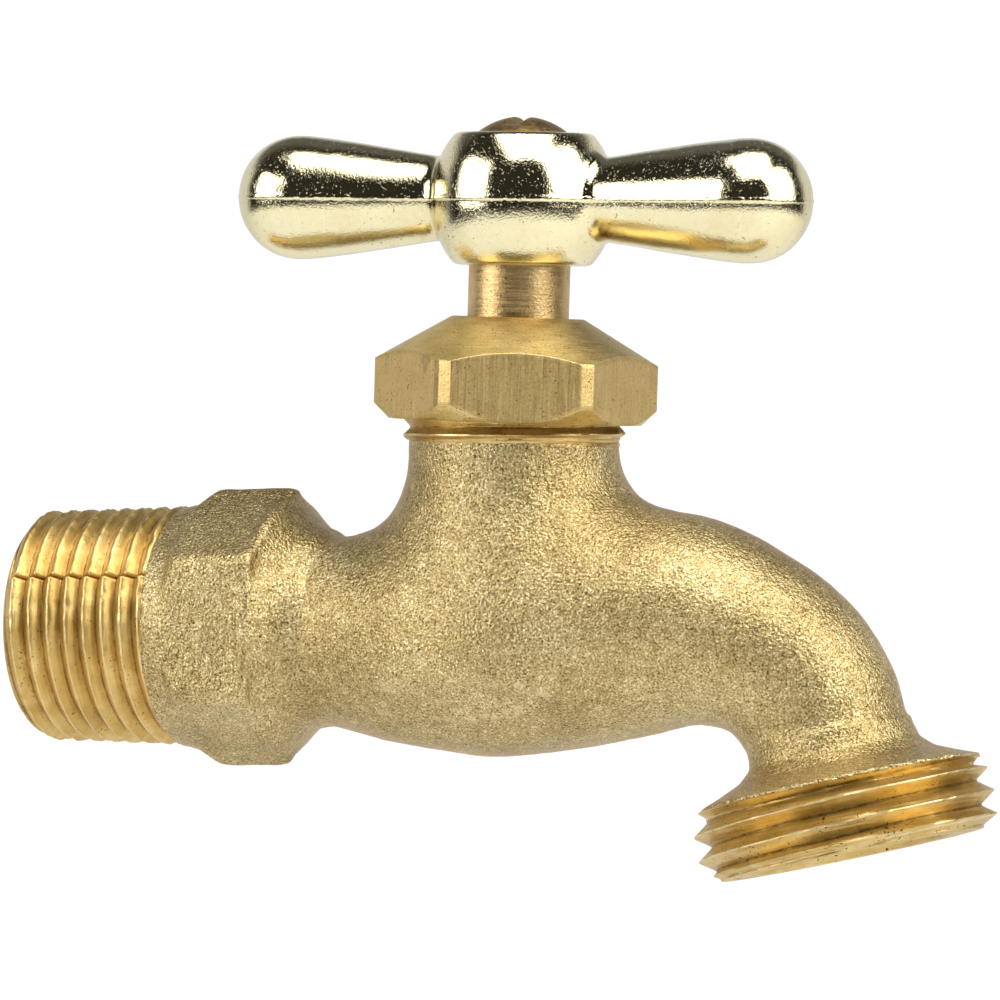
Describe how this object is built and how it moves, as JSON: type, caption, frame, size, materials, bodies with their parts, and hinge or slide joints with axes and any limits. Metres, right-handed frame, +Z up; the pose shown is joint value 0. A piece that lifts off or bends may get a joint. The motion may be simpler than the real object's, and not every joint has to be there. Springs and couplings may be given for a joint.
{
  "type": "hose bib",
  "caption": "Brass garden hose bib with a tapered pipe inlet, a tee handle on a rising stem and a male hose thread on a bent spout.",
  "frame": {"origin": "centre of the inlet's end face, on the axis of the pipe thread", "axes": "+X along the inlet bore towards the spout, +Z up the side that the handle is on, +Y to the left of the spout seen from behind"},
  "size_m": [0.0912, 0.027, 0.0688],
  "materials": {
    "cast_brass": "sand cast and blasted, matt sparkling grain, threads machined bright",
    "turned_brass": "turned and milled, fine tool lines",
    "stem_brass": "turned, slightly pink bronze tone",
    "screw_brass": "dull dark brass",
    "plated_handle": "die cast, brass plated, glossy with slight orange peel",
    "black_rubber": "matt moulded",
    "graphite_packing": "matt graphite cord"
  },
  "bodies": {
    "valve_body": {"valve_body": "cast_brass", "packing_nut": "turned_brass", "gland_washer": "turned_brass", "stem_packing": "graphite_packing", "friction_ring": "turned_brass"},
    "seat_washer": {"seat_washer": "black_rubber"},
    "stem_and_handle": {"stem": "stem_brass", "seat_washer_screw": "screw_brass", "handle": "plated_handle", "handle_screw": "screw_brass"}
  },
  "joints": [
    {"name": "stem_lift", "type": "slide", "parent": "valve_body", "child": "seat_washer", "axis": [0.0401, 0, 0.9992], "range_m": [0, 0.007]},
    {"name": "handle_turn", "type": "hinge", "parent": "seat_washer", "child": "stem_and_handle", "pos_m": [0.04565, 0, 0], "axis": [0.0401, 0, 0.9992], "range_deg": [0, 990]}
  ],
  "couplings": [
    {"joint": "stem_lift", "follows": "handle_turn", "m_per_rad": 0.00040425}
  ]
}
